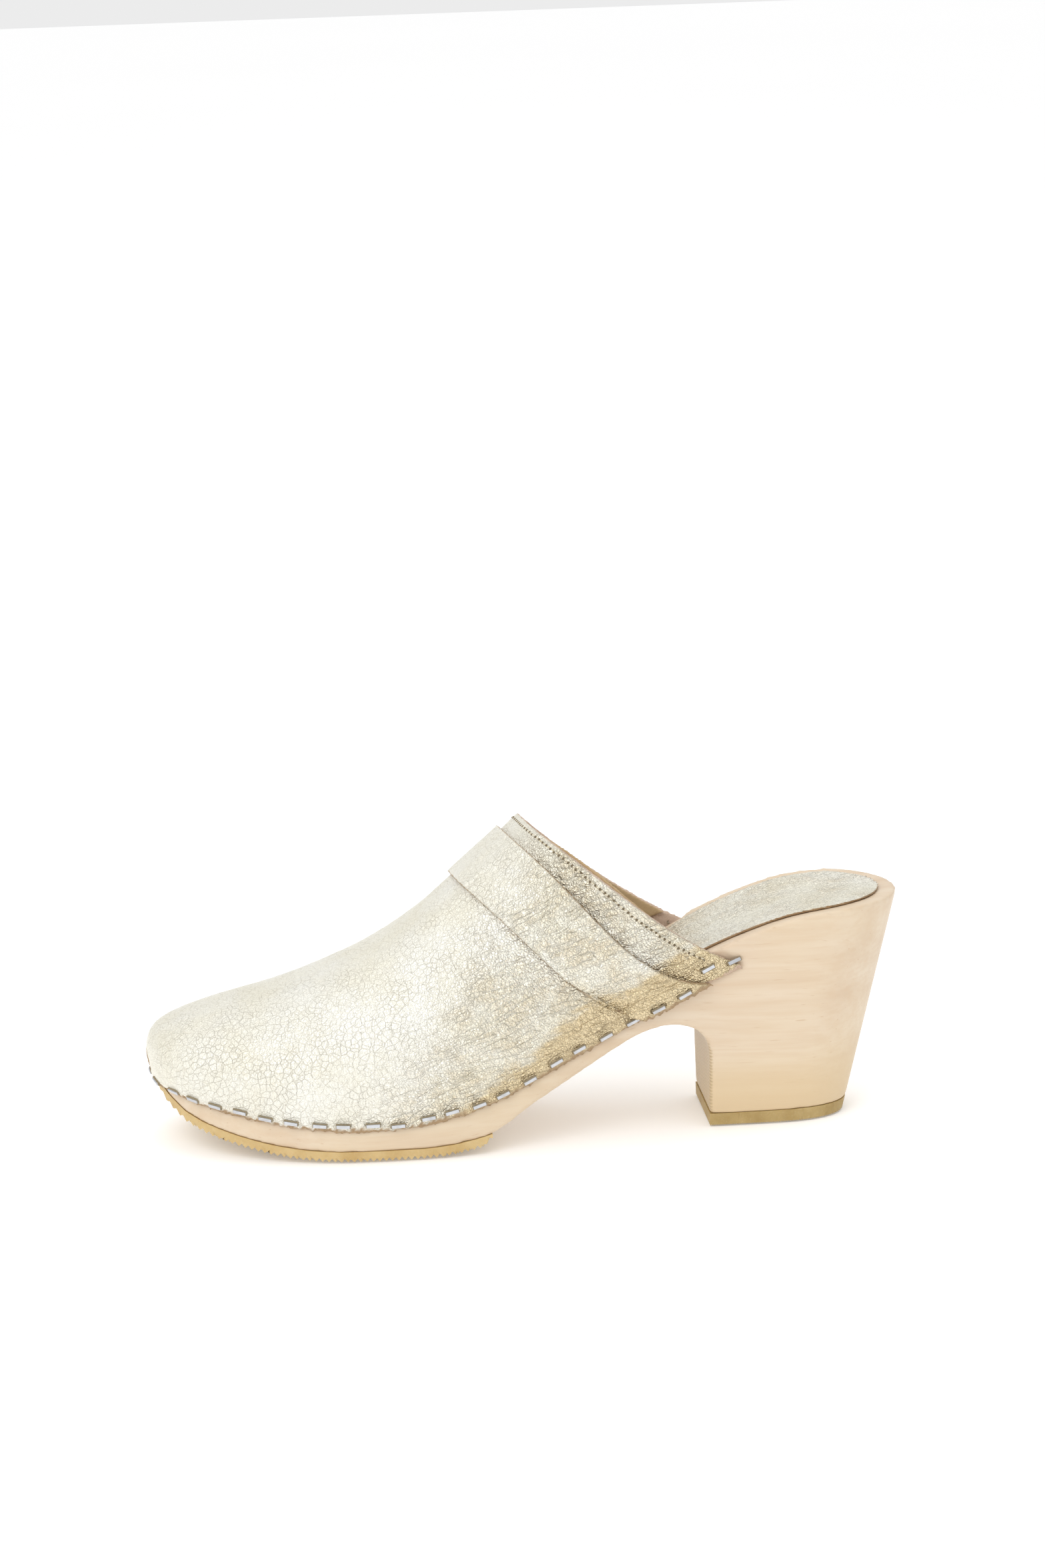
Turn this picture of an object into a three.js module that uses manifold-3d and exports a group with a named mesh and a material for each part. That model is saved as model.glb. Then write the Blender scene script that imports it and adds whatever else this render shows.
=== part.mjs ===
// Wooden clog for the left foot, in millimetres, +Z up, toe along +X, lateral side along +Y.
// A one-piece wooden sole with its block heel, a rubber outsole and top lift, and a leather upper
// in three bands that lies in a rebate round the sole and is stapled to it.
import * as THREE from 'three';
import { mergeVertices } from 'three/addons/utils/BufferGeometryUtils.js';
import Module from 'manifold-3d';

const wasm = await Module();
wasm.setup();

// ---- Driving dimensions, mm ----------------------------------------------------------------
const soleLength = 246;        // wooden sole, back of the heel rim to the tip of the toe
const heelWidth = 55;          // footbed width over the heel
const waistWidth = 50.5;       // footbed width at its narrowest
const ballWidth = 81;          // footbed width at the ball of the foot
const heelHeight = 74.2;       // floor to the footbed rim at the heel
const heelLip = 2;             // further rise of the rim at the very back
const ballHeight = 20.8;       // floor to the footbed rim at the ball
const toeSpring = 9.7;         // further rise of the footbed from the ball to the toe
const cupDepth = 1.8;          // hollow of the footbed across its width
const heelBottomWidth = 35;    // width of the heel block where it meets its top lift
const heelRearLean = 19.5;     // forward lean of the back of the heel, rim to floor
const breastX = 66;            // front face of the heel block
const archX = 79;              // highest point of the arch under the shank
const archHeight = 36.9;
const outsoleRear = 139;       // where the forefoot rubber ends under the waist
const liftThickness = 4;       // rubber top lift under the heel
const outsoleThickness = 3.2;
const outsoleLip = 0.8;        // height of the outsole's rear edge above its chamfer
const rearRise = 3.07;         // wood over the outsole: rise at the outsole's rear end
const toeRise = 12.35;         // at the toe
const tipRise = 4.54;          // and once more at its very tip
const glueLine = 0.3;          // gap kept between the rubber and the wood
const rebateHeight = 10;       // footbed rim down to the ledge that the upper stands on
const rebateDepth = 1.2;
const leather = 1.8;           // thickness of the vamp and of the collar band
const strapLeather = 1.4;
const liningLeather = 1.0;
const layerGap = 0.3;          // gap between two layers of leather
const leastGap = 0.02;         // between faces that touch
const liningClear = 2.5;       // bottom of the collar lining over the footbed
const seatGap = 0.5;           // gap between the upper and the rebate wall
const lateralTipX = 55;        // where the collar wings end on the sides of the sole
const medialTipX = 60;
const throatX = 122.5;         // front of the foot opening
const throatHeight = 101.8;
const toeCapHeight = 35.5;     // ridge of the upper just behind the tip of the toe
const toeOverhang = 2.6;       // how far the toe cap stands out past the sole
const ridgeShift = -3;         // ridge of the upper, toward the big toe
const toeShift = -7.5;
const sockThickness = 1.1;
const sockGlue = 0.15;         // film under the sock
const sockRim = 6;             // width of bare wood round the heel sock
const sockFrontLateral = 90;   // front corners of the heel sock
const sockFrontMedial = 99;
const staplesPerSide = 24;
const stapleMargin = 4.3;      // last staple to the tip of its wing
const stapleCrown = 4.4;
const stapleWidth = 1.1;
const stapleWire = 0.55;
const stapleLeg = 6;           // leg length, down from the crown
const stapleClearance = 0.3;
const stitchInset = 0.028;     // stitched line in from the throat, share of the hoop stations
const threadWidth = 0.5;

// ---- Small helpers -------------------------------------------------------------------------
const mix = THREE.MathUtils.lerp;
const smooth = THREE.MathUtils.smoothstep;

// Smooth curve y(x) through a list of [x, y] points.
function through(points) {
  const slope = (i) => {
    const a = points[Math.max(i - 1, 0)];
    const b = points[Math.min(i + 1, points.length - 1)];
    return (b[1] - a[1]) / (b[0] - a[0]);
  };
  return (x) => {
    let i = 0;
    while (i < points.length - 2 && x > points[i + 1][0]) i += 1;
    const [x0, y0] = points[i];
    const [x1, y1] = points[i + 1];
    const width = x1 - x0;
    const t = THREE.MathUtils.clamp((x - x0) / width, 0, 1);
    const h = t * t * (3 - 2 * t);
    const rise = slope(i) * t * (1 - t) ** 2 - slope(i + 1) * t * t * (1 - t);
    return mix(y0, y1, h) + width * rise;
  };
}

function geometryFrom(positions, indices) {
  const geometry = new THREE.BufferGeometry();
  geometry.setAttribute('position', new THREE.Float32BufferAttribute(positions, 3));
  geometry.setIndex(indices);
  return geometry;
}

// A closed geometry as a manifold solid, with doubled corners merged and slivers dropped.
function solid(geometry) {
  const bare = geometry.clone();
  bare.deleteAttribute('normal');
  bare.deleteAttribute('uv');
  const merged = mergeVertices(bare, 1e-4);
  const index = Array.from(merged.index.array);
  const kept = [];
  for (let i = 0; i < index.length; i += 3) {
    const [a, b, c] = index.slice(i, i + 3);
    if (a !== b && b !== c && c !== a) kept.push(a, b, c);
  }
  const mesh = new wasm.Mesh({
    numProp: 3,
    vertProperties: new Float32Array(merged.attributes.position.array),
    triVerts: new Uint32Array(kept),
  });
  return new wasm.Manifold(mesh);
}

function geometryOf(manifold) {
  const mesh = manifold.getMesh();
  return geometryFrom(Array.from(mesh.vertProperties), Array.from(mesh.triVerts));
}

// Closed solid over a grid: two sheets of rows x columns points, joined round their edges.
function slab(lower, upper) {
  const rows = lower.length;
  const columns = lower[0].length;
  const positions = [];
  for (const sheet of [lower, upper]) {
    for (const row of sheet) for (const p of row) positions.push(p.x, p.y, p.z);
  }
  const at = (sheet, i, j) => sheet * rows * columns + i * columns + j;
  const indices = [];
  const quad = (a, b, c, d) => indices.push(a, b, c, a, c, d);
  for (let i = 0; i < rows - 1; i += 1) {
    for (let j = 0; j < columns - 1; j += 1) {
      quad(at(0, i, j), at(0, i, j + 1), at(0, i + 1, j + 1), at(0, i + 1, j));
      quad(at(1, i, j), at(1, i + 1, j), at(1, i + 1, j + 1), at(1, i, j + 1));
    }
  }
  for (let i = 0; i < rows - 1; i += 1) {
    const last = columns - 1;
    quad(at(0, i, 0), at(0, i + 1, 0), at(1, i + 1, 0), at(1, i, 0));
    quad(at(0, i + 1, last), at(0, i, last), at(1, i, last), at(1, i + 1, last));
  }
  for (let j = 0; j < columns - 1; j += 1) {
    const last = rows - 1;
    quad(at(0, 0, j + 1), at(0, 0, j), at(1, 0, j), at(1, 0, j + 1));
    quad(at(0, last, j), at(0, last, j + 1), at(1, last, j + 1), at(1, last, j));
  }
  return geometryFrom(positions, indices);
}

// Slab between two heights over a rectangle of the plan.
function heightSlab(x0, x1, y0, y1, nx, ny, lowZ, highZ) {
  const sheet = (height) => {
    const rows = [];
    for (let i = 0; i <= nx; i += 1) {
      const x = mix(x0, x1, i / nx);
      const row = [];
      for (let j = 0; j <= ny; j += 1) {
        const y = mix(y0, y1, j / ny);
        row.push(new THREE.Vector3(x, y, height(x, y)));
      }
      rows.push(row);
    }
    return rows;
  };
  return solid(slab(sheet(lowZ), sheet(highZ)));
}

// A profile drawn in X and Z, as a wall right across the sole.
function acrossSole(shape) {
  const reach = ballWidth;
  const geometry = new THREE.ExtrudeGeometry(shape, { depth: 2 * reach, bevelEnabled: false, curveSegments: 7 });
  geometry.rotateX(Math.PI / 2);
  geometry.translate(0, reach, 0);
  return solid(geometry);
}

// ---- Plan of the sole ----------------------------------------------------------------------
// Each point is a share of the length and a share of the half width named beside it.
const planPoints = [
  [0, 0, heelWidth],
  [0.018, 0.53, heelWidth],
  [0.081, 0.956, heelWidth],
  [0.276, 0.996, heelWidth],
  [0.374, 1.061, waistWidth],
  [0.528, 0.81, ballWidth],
  [0.683, 0.884, ballWidth],
  [0.813, 0.79, ballWidth],
  [0.927, 0.469, ballWidth],
  [0.984, 0.1, ballWidth],
  [1, -0.185, ballWidth],
  [0.988, -0.469, ballWidth],
  [0.935, -0.8, ballWidth],
  [0.833, -1.037, ballWidth],
  [0.748, -1.116, ballWidth],
  [0.65, -1.057, ballWidth],
  [0.528, -0.79, ballWidth],
  [0.407, -0.95, waistWidth],
  [0.325, -0.974, waistWidth],
  [0.203, -0.989, heelWidth],
  [0.081, -0.956, heelWidth],
  [0.018, -0.53, heelWidth],
];
const toePoint = 10;
const plan = new THREE.CatmullRomCurve3(
  planPoints.map(([x, y, width]) => new THREE.Vector3(x * soleLength, (y * width) / 2, 0)),
  true,
  'centripetal',
);

function outward(t) {
  const tangent = plan.getTangent(t);
  return new THREE.Vector3(-tangent.y, tangent.x, 0).normalize();
}

// Walk along the plan from the toe tip: side 1 is lateral, side -1 medial.
const planSamples = 1400;
function walkway(side) {
  const steps = [{ t: toePoint / planPoints.length, distance: 0 }];
  let last = plan.getPoint(steps[0].t);
  for (let i = 1; i < planSamples / 2; i += 1) {
    const t = (((toePoint / planPoints.length - (side * i) / planSamples) % 1) + 1) % 1;
    const point = plan.getPoint(t);
    steps.push({ t, distance: steps[i - 1].distance + point.distanceTo(last) });
    last = point;
  }
  return steps;
}
const walkways = { 1: walkway(1), '-1': walkway(-1) };

function walk(side, distance) {
  const steps = walkways[side];
  let i = 1;
  while (i < steps.length - 1 && steps[i].distance < distance) i += 1;
  return steps[i].t;
}

function distanceTo(side, x) {
  const far = walkways[side].find((step) => step.distance > soleLength / 3 && plan.getPoint(step.t).x < x);
  return far.distance;
}

// ---- Heights along the sole ----------------------------------------------------------------
const drop = heelHeight - ballHeight;
const footbedLine = through([
  [0, heelHeight + heelLip],
  [0.04 * soleLength, heelHeight + heelLip / 2],
  [0.09 * soleLength, ballHeight + 0.995 * drop],
  [0.155 * soleLength, ballHeight + 0.955 * drop],
  [0.21 * soleLength, ballHeight + 0.88 * drop],
  [0.27 * soleLength, ballHeight + 0.77 * drop],
  [0.325 * soleLength, ballHeight + 0.64 * drop],
  [0.386 * soleLength, ballHeight + 0.5 * drop],
  [0.447 * soleLength, ballHeight + 0.37 * drop],
  [0.51 * soleLength, ballHeight + 0.235 * drop],
  [0.57 * soleLength, ballHeight + 0.115 * drop],
  [0.64 * soleLength, ballHeight + 0.03 * drop],
  [0.72 * soleLength, ballHeight],
  [0.8 * soleLength, ballHeight + 0.08 * toeSpring],
  [0.87 * soleLength, ballHeight + 0.33 * toeSpring],
  [0.94 * soleLength, ballHeight + 0.66 * toeSpring],
  [soleLength, ballHeight + toeSpring],
]);

function footbed(x, y) {
  const half = mix(heelWidth, ballWidth, smooth(x, 0.4 * soleLength, 0.65 * soleLength)) / 2;
  const centre = mix(0, toeShift, smooth(x, 0.4 * soleLength, soleLength));
  return footbedLine(x) - cupDepth * (1 - Math.min(1, ((y - centre) / half) ** 2));
}

const treadRear = 0.66 * soleLength;   // the outsole lies flat on the floor between these two
const treadFront = 0.755 * soleLength;
const tipStart = 0.95 * soleLength;
function woodBottom(x) {
  const behind = Math.max(0, treadRear - x) / (treadRear - outsoleRear);
  const ahead = Math.max(0, x - treadFront) / (soleLength - treadFront);
  const tip = Math.max(0, x - tipStart) / (soleLength - tipStart);
  return outsoleThickness + rearRise * behind ** 2 + toeRise * ahead ** 2 + tipRise * tip ** 2;
}

// ---- Side wall of the sole -----------------------------------------------------------------
// The wall leans in toward the floor, most of all at the back of the heel.
function wallPoint(t, z, out) {
  const top = plan.getPoint(t);
  const normal = outward(t);
  const heelShare = 1 - smooth(top.x, breastX, 0.53 * soleLength);
  const narrowing = mix(0.95, heelBottomWidth / heelWidth, heelShare);
  const rounding = (2 * Math.abs(top.y)) / heelWidth;
  const squarer = heelShare * Math.sign(top.y) * (heelWidth / 2) * (rounding ** 0.7 - rounding);
  const lean = heelRearLean * Math.max(0, 1 - top.x / breastX);
  const foot = new THREE.Vector3(top.x + lean, (top.y + squarer) * narrowing, 0);
  const level = z / footbedLine(top.x);
  const point = foot.lerp(top, level).addScaledVector(normal, out);
  return point.setZ(z);
}

// The solid inside the wall, grown or shrunk by `out`. Its ring runs counterclockwise.
const wallSteps = 132;
function insideWall(out, lowZ = -1, aboveRim = 12) {
  const positions = [];
  const ring = [];
  for (let i = 0; i < wallSteps; i += 1) {
    const t = plan.getUtoTmapping(1 - (i + 1) / wallSteps);
    const low = wallPoint(t, lowZ, out);
    const high = wallPoint(t, footbedLine(plan.getPoint(t).x) + aboveRim, out);
    ring.push(new THREE.Vector2(low.x, low.y));
    positions.push(low.x, low.y, low.z, high.x, high.y, high.z);
  }
  const indices = [];
  for (let i = 0; i < wallSteps; i += 1) {
    const j = (i + 1) % wallSteps;
    indices.push(2 * i, 2 * j, 2 * j + 1, 2 * i, 2 * j + 1, 2 * i + 1);
  }
  for (const [a, b, c] of THREE.ShapeUtils.triangulateShape(ring, [])) {
    indices.push(2 * a, 2 * c, 2 * b, 2 * a + 1, 2 * b + 1, 2 * c + 1);
  }
  return solid(geometryFrom(positions, indices));
}

// ---- The upper as one smooth surface of hoops ----------------------------------------------
// A hoop starts on the lateral ledge, passes over the ridge and ends on the medial ledge.
// Each station gives the hoop's share of the ledge, and its ridge point.
const ridgeZ = (share) => mix(toeCapHeight, throatHeight, share);
const hoopStations = [
  [0.04, soleLength + 0.3, ballHeight + toeSpring - rebateHeight],
  [0.065, soleLength + toeOverhang, ballHeight + toeSpring - 1.5],
  [0.1, soleLength + 0.8, ridgeZ(0)],
  [0.155, 0.978 * soleLength, ridgeZ(0.0588)],
  [0.24, 0.919 * soleLength, ridgeZ(0.1252)],
  [0.37, 0.821 * soleLength, ridgeZ(0.2187)],
  [0.51, 0.728 * soleLength, ridgeZ(0.3590)],
  [0.66, 0.658 * soleLength, ridgeZ(0.5113)],
  [0.84, throatX + 23, ridgeZ(0.7134)],
  [0.945, throatX + 5.9, ridgeZ(0.9306)],
  [1, throatX, throatHeight],
];
const stationCount = hoopStations.length - 1;
const strapFront = 0.8;        // the strap lies between these two hoops
const strapRear = 0.9;
const bandJoint = 0.85;        // vamp and collar meet here, under the strap
const bandGap = 0.003;         // from each edge to the joint, share of the hoop stations
const liningFront = 0.87;      // the lining lies between these two hoops
const liningRear = 0.998;
const ledgeShare = through(hoopStations.map(([share], i) => [i / stationCount, share]));
const ridge = new THREE.CatmullRomCurve3(
  hoopStations.map(([, x, z]) => {
    const y = mix(ridgeShift, toeShift, smooth(x, 0.6 * soleLength, soleLength));
    return new THREE.Vector3(x, y, z);
  }),
  false,
  'centripetal',
);
const squareness = through([[0, 0.85], [0.3, 0.8], [0.6, 0.72], [0.8, 0.5], [1, 0.42]]);
const lateralSwell = through([[0, 1.5], [0.2, 2.4], [0.6, 3], [0.7, 6.5], [0.8, 9], [1, 10.5]]);
const medialSwell = through([[0, 1.5], [0.2, 2.4], [0.6, 4], [0.8, 12], [1, 11]]);
const swellHeight = through([[0, 0], [0.7, 0], [0.8, 0.3], [1, 1]]);
const lateralDip = through([[0, 0], [0.5, 0], [0.8, 5], [0.9, 7.6], [1, 3]]);
const medialDip = through([[0, 0], [0.5, 0], [0.8, 4.5], [0.9, 5.5], [1, 3.8]]);
const dipWay = new THREE.Vector3(0.45, 0, -0.9);  // a dip slides a hoop down and toward the toe
const reach = { 1: distanceTo(1, lateralTipX), '-1': distanceTo(-1, medialTipX) };
const seat = leather / 2 + seatGap - rebateDepth;
const staplePitch = (reach[1] - stapleMargin) / staplesPerSide;

function ledgeZ(x) {
  return footbedLine(x) - rebateHeight;
}

function ledgePoint(side, share) {
  const t = walk(side, share * reach[side]);
  return wallPoint(t, ledgeZ(plan.getPoint(t).x), seat);
}

// Fine polyline of one hoop, with the share of each of its points along it.
const hoopSteps = 160;
function hoop(s) {
  const lateral = ledgePoint(1, ledgeShare(s));
  const medial = ledgePoint(-1, ledgeShare(s));
  const centre = lateral.clone().add(medial).multiplyScalar(0.5);
  const half = lateral.clone().sub(medial).multiplyScalar(0.5);
  const rise = ridge.getPoint(s).sub(centre);
  const across = half.clone().normalize();
  const points = [];
  for (let i = 0; i <= hoopSteps; i += 1) {
    const angle = (Math.PI * i) / hoopSteps;
    const side = Math.sign(Math.cos(angle));
    const reachOut = side * Math.abs(Math.cos(angle)) ** squareness(s);
    const up = Math.sin(angle);
    const low = 4 * up * (1 - up);
    const high = 6.75 * up * up * (1 - up);
    const swell = (side > 0 ? lateralSwell(s) : medialSwell(s)) * mix(low, high, swellHeight(s));
    const point = centre.clone().addScaledVector(half, reachOut).addScaledVector(rise, up);
    point.addScaledVector(across, side * swell);
    const dip = side > 0 ? lateralDip(s) : medialDip(s);
    const sag = side > 0 ? 6.75 * up * (1 - up) ** 2 : 4 * up * (1 - up);
    point.addScaledVector(dipWay, dip * sag);
    points.push(point);
  }
  const shares = [0];
  for (let i = 1; i <= hoopSteps; i += 1) shares.push(shares[i - 1] + points[i].distanceTo(points[i - 1]));
  return { points, shares: shares.map((share) => share / shares[hoopSteps]) };
}

function onHoop({ points, shares }, w) {
  let i = 1;
  while (i < shares.length - 1 && shares[i] < w) i += 1;
  return points[i - 1].clone().lerp(points[i], (w - shares[i - 1]) / (shares[i] - shares[i - 1]));
}

// Rows of points and outward normals between two hoops, w0 to w1 along each.
function band(s0, s1, rows, columns, w0 = () => 0) {
  const step = 0.004;
  const grid = [];
  for (let i = 0; i <= rows; i += 1) {
    const s = mix(s0, s1, i / rows);
    const here = hoop(s);
    const before = hoop(Math.max(s - step, 0));
    const after = hoop(Math.min(s + step, 1));
    const start = w0(here);
    const row = [];
    for (let j = 0; j <= columns; j += 1) {
      const w = mix(start, 1 - start, j / columns);
      const point = onHoop(here, w);
      const along = onHoop(after, w).sub(onHoop(before, w));
      const over = onHoop(here, Math.min(w + step, 1)).sub(onHoop(here, Math.max(w - step, 0)));
      row.push({ point, normal: along.cross(over).normalize(), s });
    }
    grid.push(row);
  }
  return grid;
}

function offsetSheet(grid, distance) {
  return grid.map((row) => row.map(({ point, normal }) => point.clone().addScaledVector(normal, distance)));
}

function leatherSlab(grid, inner, thickness) {
  const geometry = slab(offsetSheet(grid, inner), offsetSheet(grid, inner + thickness));
  const made = solid(geometry);
  if (made.volume() > 0) return made;
  return solid(slab(offsetSheet(grid, inner + thickness), offsetSheet(grid, inner)));
}

// ---- Staples -------------------------------------------------------------------------------
// A staple is a crown with two legs; x runs along the ledge, z points out of the shoe.
function stapleShape() {
  const half = stapleCrown / 2;
  const inside = half - stapleWire;
  const shape = new THREE.Shape();
  shape.moveTo(-half, stapleWire);
  shape.lineTo(-half, -stapleLeg);
  shape.lineTo(-inside, -stapleLeg);
  shape.lineTo(-inside, 0);
  shape.lineTo(inside, 0);
  shape.lineTo(inside, -stapleLeg);
  shape.lineTo(half, -stapleLeg);
  shape.lineTo(half, stapleWire);
  shape.closePath();
  return shape;
}

function stapleGeometry() {
  const geometry = new THREE.ExtrudeGeometry(stapleShape(), { depth: stapleWidth, bevelEnabled: false });
  geometry.translate(0, 0, -stapleWidth / 2);
  return geometry.rotateX(Math.PI / 2);
}

// The two slots that the legs pass through. They run on a little way above the crown.
const slotAbove = 2;
function stapleSlots(frame) {
  const size = stapleWire + 2 * stapleClearance;
  const slots = [];
  for (const end of [-1, 1]) {
    const depth = stapleLeg + stapleClearance;
    const slot = new THREE.BoxGeometry(size, stapleWidth + 2 * stapleClearance, depth + slotAbove);
    slot.translate((end * (stapleCrown - stapleWire)) / 2, 0, (slotAbove - depth) / 2);
    slot.applyMatrix4(frame);
    slots.push(solid(slot));
  }
  return slots;
}

// Where each staple sits: the nearest point of the surface to a spot just above the ledge.
const surface = band(0, 1, 150, 150).flat();
function nearest(target) {
  return surface.reduce((best, next) => (
    next.point.distanceToSquared(target) < best.point.distanceToSquared(target) ? next : best));
}

const edgeHeight = 2.4;         // crown above the cut edge of the leather
const wingHeights = [5.4, 3.8]; // the last two staples of each wing stand higher
const crownLift = 0.1;          // crown above the leather under it
function stapleFrame(side, number) {
  const distance = number * staplePitch * (reach[side] / reach[1]);
  const t = walk(side, distance);
  const height = wingHeights[number - staplesPerSide + 1] ?? edgeHeight;
  const target = wallPoint(t, ledgeZ(plan.getPoint(t).x) + height, seat);
  const spot = nearest(target);
  const share = distance / reach[side];
  const ahead = ledgePoint(side, Math.max(share - 0.01, 0));
  const behind = ledgePoint(side, Math.min(share + 0.01, 1));
  const along = number === 0 ? new THREE.Vector3(0, 1, 0) : ahead.sub(behind).normalize();
  const onStrap = [-1, 0, 1].some((end) => {
    const reachOut = end * (stapleCrown / 2 + stapleClearance);
    const { s } = nearest(spot.point.clone().addScaledVector(along, reachOut));
    return s > strapFront && s < strapRear;
  });
  const lift = leather / 2 + layerGap + crownLift + (onStrap ? strapLeather + layerGap : 0);
  const zAxis = spot.normal.clone();
  const yAxis = zAxis.clone().cross(along).normalize();
  const xAxis = yAxis.clone().cross(zAxis);
  const place = spot.point.clone().addScaledVector(zAxis, lift);
  return new THREE.Matrix4().makeBasis(xAxis, yAxis, zAxis).setPosition(place);
}

const staples = [{ name: 'staple_toe', frame: stapleFrame(1, 0) }];
for (const [side, word] of [[1, 'lateral'], [-1, 'medial']]) {
  for (let number = 1; number <= staplesPerSide; number += 1) {
    const name = `staple_${word}_${String(number).padStart(2, '0')}`;
    staples.push({ name, frame: stapleFrame(side, number) });
  }
}
const slots = staples.flatMap(({ frame }) => stapleSlots(frame));
const allSlots = wasm.Manifold.union(slots);

// ---- Sole block ----------------------------------------------------------------------------
function soleSideShape() {
  const shape = new THREE.Shape();
  shape.moveTo(-5, liftThickness);
  shape.lineTo(breastX, liftThickness);
  shape.lineTo(breastX, archHeight - 12.5);
  shape.bezierCurveTo(breastX, archHeight - 4, archX - 8, archHeight, archX, archHeight);
  shape.bezierCurveTo(archX + 8, archHeight, archX + 14, archHeight - 4, archX + 21, archHeight - 7.7);
  shape.lineTo(outsoleRear - 13, archHeight - 22);
  shape.quadraticCurveTo(outsoleRear - 7, woodBottom(outsoleRear) + 4, outsoleRear, woodBottom(outsoleRear));
  const runOut = soleLength * 1.01;
  for (let i = 1; i <= 20; i += 1) {
    const x = mix(outsoleRear, runOut, i / 20);
    shape.lineTo(x, woodBottom(x));
  }
  shape.lineTo(runOut + 5, heelHeight * 2);
  shape.lineTo(-5, heelHeight * 2);
  shape.closePath();
  return shape;
}

const wingMargin = 1.6;        // the rebate runs this far past the edge of a wing
const wingHeight = 0.3;        // and this share of the throat edge up from its tip

// The rebate round the upper half of the wall, from the toe back to the tip of each wing.
// `extra` makes it that much shallower.
function rebate(extra) {
  const wellOutside = insideWall(6, -1, 30);
  const ring = wellOutside.subtract(insideWall(extra - rebateDepth, -2, 31));
  const halves = [1, -1].map((side) => {
    const shape = new THREE.Shape();
    const steps = 24;
    const hoopRise = hoop(1);
    shape.moveTo(soleLength * 1.05, ledgeZ(soleLength) - layerGap + extra);
    for (let i = 0; i <= steps; i += 1) {
      const t = walk(side, (reach[side] * i) / steps);
      const x = plan.getPoint(t).x;
      shape.lineTo(x, ledgeZ(x) - layerGap + extra);
    }
    for (let i = 1; i <= 8; i += 1) {
      const w = (wingHeight * i) / 8;
      const point = onHoop(hoopRise, side > 0 ? w : 1 - w);
      shape.lineTo(point.x - wingMargin, point.z + wingMargin);
    }
    shape.lineTo(throatX, heelHeight * 2);
    shape.lineTo(soleLength * 1.05, heelHeight * 2);
    shape.closePath();
    const geometry = new THREE.ExtrudeGeometry(shape, { depth: ballWidth, bevelEnabled: false });
    geometry.rotateX(Math.PI / 2);
    geometry.translate(0, side > 0 ? ballWidth : 0, 0);
    return solid(geometry);
  });
  return ring.intersect(halves[0].add(halves[1]));
}

// The wood grown by `extra`, without the slots of the staples.
function woodEnvelope(extra) {
  const high = heelHeight * 2.5;
  const top = (x, y) => footbed(x, y) + extra;
  const above = heightSlab(-6, soleLength + 6, -ballWidth, ballWidth, 40, 12, top, () => high);
  return insideWall(extra)
    .intersect(acrossSole(soleSideShape()))
    .subtract(above)
    .subtract(rebate(extra));
}

function soleBlock() {
  return woodEnvelope(0).subtract(allSlots);
}

// ---- Rubber --------------------------------------------------------------------------------
function forefootOutsole() {
  const chamfer = 3;
  const shape = new THREE.Shape();
  const end = soleLength * 1.01;
  const steps = 20;
  const grid = Array.from({ length: steps + 1 }, (_, i) => mix(outsoleRear, end, i / steps));
  shape.moveTo(outsoleRear, woodBottom(outsoleRear) - glueLine);
  shape.lineTo(outsoleRear, woodBottom(outsoleRear) - glueLine - outsoleLip);
  shape.lineTo(outsoleRear + chamfer, woodBottom(outsoleRear + chamfer) - outsoleThickness);
  for (const x of [...grid, treadRear, treadFront].sort((a, b) => a - b)) {
    if (x > outsoleRear + chamfer) shape.lineTo(x, woodBottom(x) - outsoleThickness);
  }
  for (const x of grid.slice().reverse()) {
    if (x > outsoleRear) shape.lineTo(x, woodBottom(x) - glueLine);
  }
  shape.closePath();
  return insideWall(0).intersect(acrossSole(shape));
}

function heelLift() {
  const shape = new THREE.Shape();
  shape.moveTo(-5, 0);
  shape.lineTo(breastX, 0);
  shape.lineTo(breastX, liftThickness - glueLine);
  shape.lineTo(-5, liftThickness - glueLine);
  shape.closePath();
  return insideWall(0).intersect(acrossSole(shape));
}

// ---- Heel sock -----------------------------------------------------------------------------
function heelSock() {
  const low = (x, y) => footbed(x, y) + sockGlue;
  const high = (x, y) => footbed(x, y) + sockGlue + sockThickness;
  const sheet = heightSlab(-6, 120, -heelWidth, heelWidth, 22, 14, low, high);
  const front = new THREE.Shape();
  const corner = heelWidth / 2;
  front.moveTo(-10, -corner * 2);
  front.lineTo(sockFrontMedial + 1, -corner * 2);
  front.lineTo(sockFrontMedial, -corner + sockRim - 4);
  front.quadraticCurveTo(
    (sockFrontMedial + sockFrontLateral) / 2 - 4, 0,
    sockFrontLateral, corner - sockRim + 4,
  );
  front.lineTo(sockFrontLateral - 1, corner * 2);
  front.lineTo(-10, corner * 2);
  front.closePath();
  const prism = new THREE.ExtrudeGeometry(front, { depth: heelHeight * 2, bevelEnabled: false, curveSegments: 8 });
  return sheet.intersect(solid(prism)).intersect(insideWall(-sockRim));
}

// ---- Upper ---------------------------------------------------------------------------------
const vampGrid = band(0, bandJoint - bandGap, 23, 26);
const collarGrid = band(bandJoint + bandGap, 1, 5, 26);
const strapGrid = band(strapFront, strapRear, 4, 28);

// The lining stops clear of the footbed, so each of its rows starts some way up its hoop.
function liningStart(here) {
  let w = 0;
  while (w < 0.3) {
    const lateral = onHoop(here, w);
    const medial = onHoop(here, 1 - w);
    const low = Math.min(lateral.z - footbedLine(lateral.x), medial.z - footbedLine(medial.x));
    if (low > liningClear) break;
    w += 0.005;
  }
  return w;
}
const liningGrid = band(liningFront, liningRear, 5, 24, liningStart);

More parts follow.
